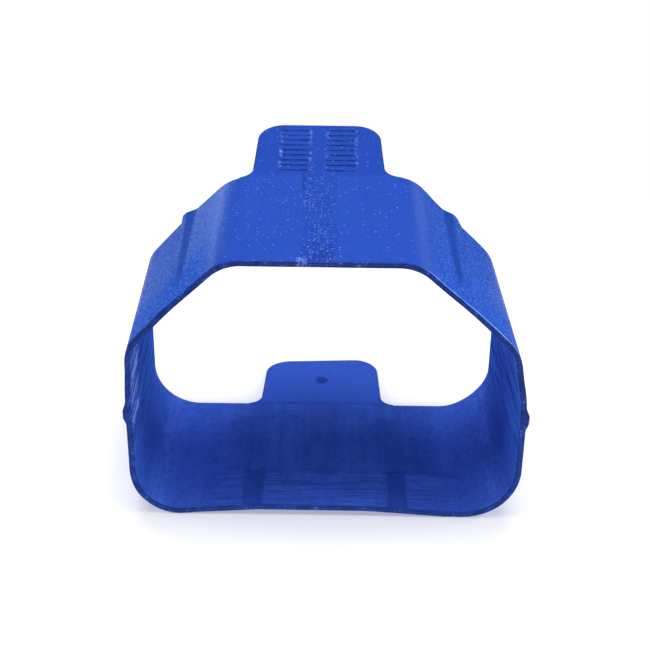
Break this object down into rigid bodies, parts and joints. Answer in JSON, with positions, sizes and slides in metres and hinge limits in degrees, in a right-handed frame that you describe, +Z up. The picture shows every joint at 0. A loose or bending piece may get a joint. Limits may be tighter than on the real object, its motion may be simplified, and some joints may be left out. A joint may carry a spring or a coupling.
{
  "type": "plug locking sleeve",
  "caption": "Thin open-ended plastic sleeve with chamfered top corners that locks an appliance plug in its outlet, with flexible pull tabs on its upper and lower rear edges.",
  "frame": {"origin": "centre of the bounding box's bottom, on the surface that the flat bottom wall stands on", "axes": "+Z up through the top wall, -Y out of the mouth that the plug's nose comes out of, +Y along the pull tabs, +X to the right seen from the mouth"},
  "size_m": [0.0296, 0.0222, 0.0226],
  "materials": {
    "blue_polypropylene": "satin, fine spark-eroded grain outside and smoother with draw lines inside, slightly translucent"
  },
  "bodies": {
    "sleeve": {"sleeve": "blue_polypropylene"},
    "upper_tab": {"upper_tab": "blue_polypropylene"},
    "lower_tab": {"lower_tab": "blue_polypropylene"}
  },
  "joints": [
    {"name": "upper_tab_crease", "type": "hinge", "parent": "sleeve", "child": "upper_tab", "pos_m": [0, 0.00405, 0.02078], "axis": [1, 0, 0], "range_deg": [-20, 50], "stiffness_Nm_per_rad": 0.03},
    {"name": "lower_tab_crease", "type": "hinge", "parent": "sleeve", "child": "lower_tab", "pos_m": [0, 0.00405, 0.00022], "axis": [-1, 0, 0], "range_deg": [-8, 62], "stiffness_Nm_per_rad": 0.03}
  ]
}
